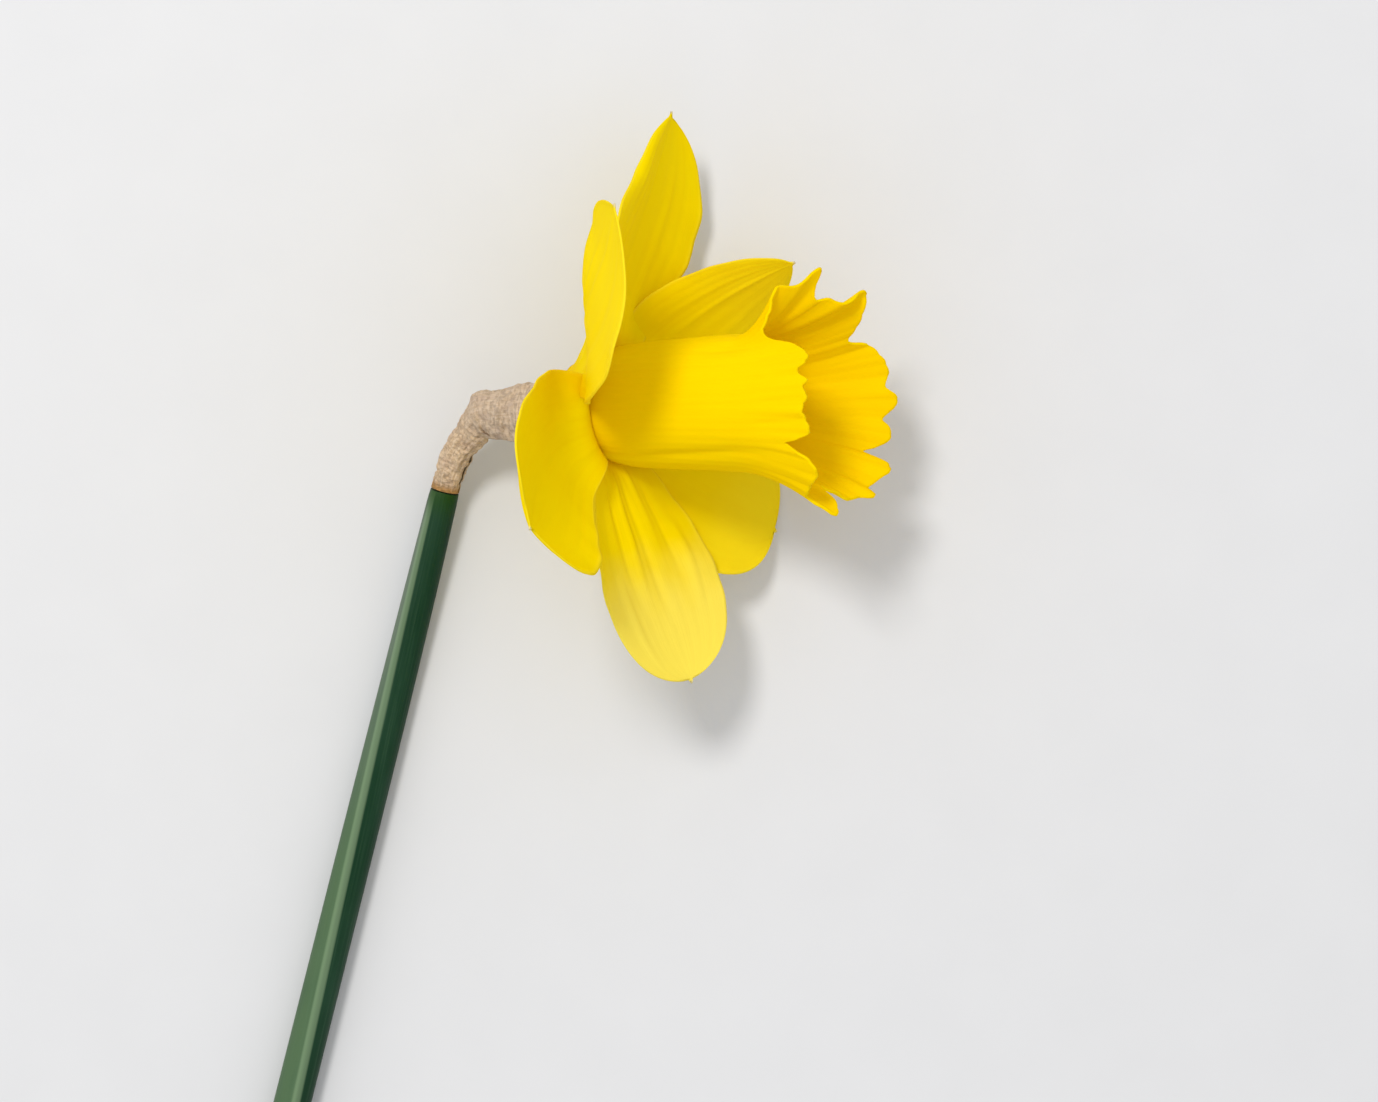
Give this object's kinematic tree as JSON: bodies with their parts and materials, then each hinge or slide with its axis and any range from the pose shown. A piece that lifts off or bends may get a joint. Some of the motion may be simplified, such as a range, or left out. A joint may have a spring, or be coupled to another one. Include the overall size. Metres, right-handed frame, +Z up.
{
  "type": "daffodil flower",
  "caption": "Cut trumpet daffodil lying on its side: yellow petals round a frilled trumpet, on a bare green stem with a papery sheath at the neck.",
  "frame": {"origin": "bottom centre of the bounding box, on the surface that the flower lies on", "axes": "+Z up from the surface; the trumpet opens towards +X and rises 23.5 degrees; the stem runs towards -Y and slightly -X"},
  "size_m": [0.1278, 0.2422, 0.0762],
  "materials": {
    "stem_green": "fresh green, waxy",
    "spathe_tan": "dry, papery, fibrous",
    "neck_green": "fresh green, satin",
    "tube_yellow": "soft satin, greenish yellow",
    "tepal_outer": "soft satin, lemon to golden yellow",
    "tepal_inner": "soft satin, lemon yellow",
    "trumpet_yellow": "soft satin, deep golden yellow",
    "filament_yellow": "smooth, pale yellow",
    "anther_gold": "powdery pollen",
    "pistil_yellow": "smooth, pale yellow"
  },
  "bodies": {
    "root": {"stem": "stem_green", "spathe": "spathe_tan", "pedicel": "neck_green", "ovary": "neck_green", "floral_tube": "tube_yellow", "trumpet": "trumpet_yellow", "style": "pistil_yellow", "stigma": "pistil_yellow", "outer_tepal_1": "tepal_outer", "inner_tepal_1": "tepal_inner", "outer_tepal_2": "tepal_outer", "inner_tepal_2": "tepal_inner", "outer_tepal_3": "tepal_outer", "inner_tepal_3": "tepal_inner", "filament_1": "filament_yellow", "anther_1": "anther_gold", "filament_2": "filament_yellow", "anther_2": "anther_gold", "filament_3": "filament_yellow", "anther_3": "anther_gold", "filament_4": "filament_yellow", "anther_4": "anther_gold", "filament_5": "filament_yellow", "anther_5": "anther_gold", "filament_6": "filament_yellow", "anther_6": "anther_gold"}
  },
  "joints": []
}
